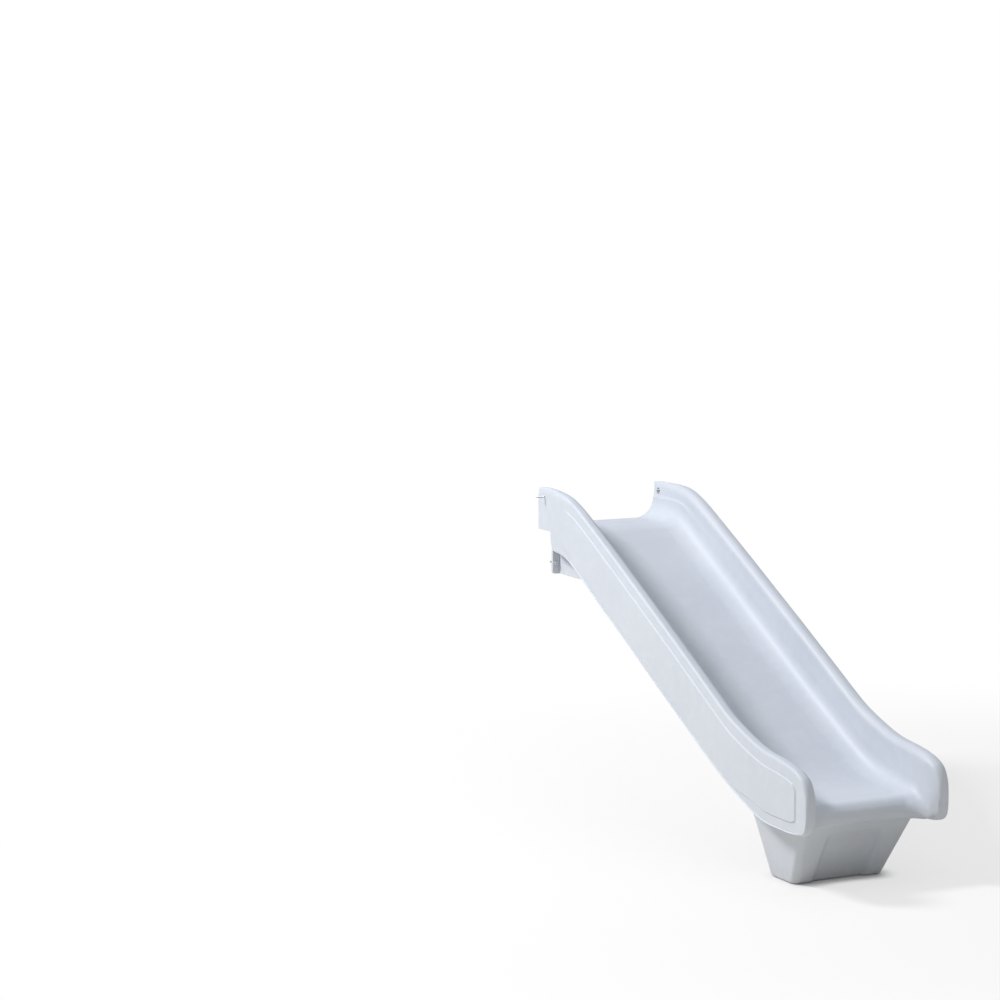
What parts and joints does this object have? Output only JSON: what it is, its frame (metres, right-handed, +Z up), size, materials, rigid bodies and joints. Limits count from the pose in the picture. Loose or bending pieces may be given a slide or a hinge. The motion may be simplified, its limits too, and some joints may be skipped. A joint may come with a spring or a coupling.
{
  "type": "straight playground slide",
  "caption": "Straight slide for a low platform: a hollow moulded chute with raised side rails, levelled run-out and foot, screwed to a deck's posts and rim board.",
  "frame": {"origin": "centre of the foot's base, on the ground", "axes": "+Z up, +Y back and up the slide towards the deck, +X to the right of a person looking up the slide from its exit"},
  "size_m": [0.4036, 1.294, 0.7835],
  "materials": {
    "shell": "satin, fine moulded texture",
    "hardware": "zinc plated, satin",
    "plug": "matte"
  },
  "bodies": {
    "root": {"slide_shell": "shell", "ear_screw_left": "hardware", "ear_screw_right": "hardware", "ear_washer_left": "hardware", "ear_washer_right": "hardware", "rim_screw_left": "hardware", "rim_screw_right": "hardware", "rim_washer_left": "hardware", "rim_washer_right": "hardware", "vent_plug": "plug"}
  },
  "joints": []
}
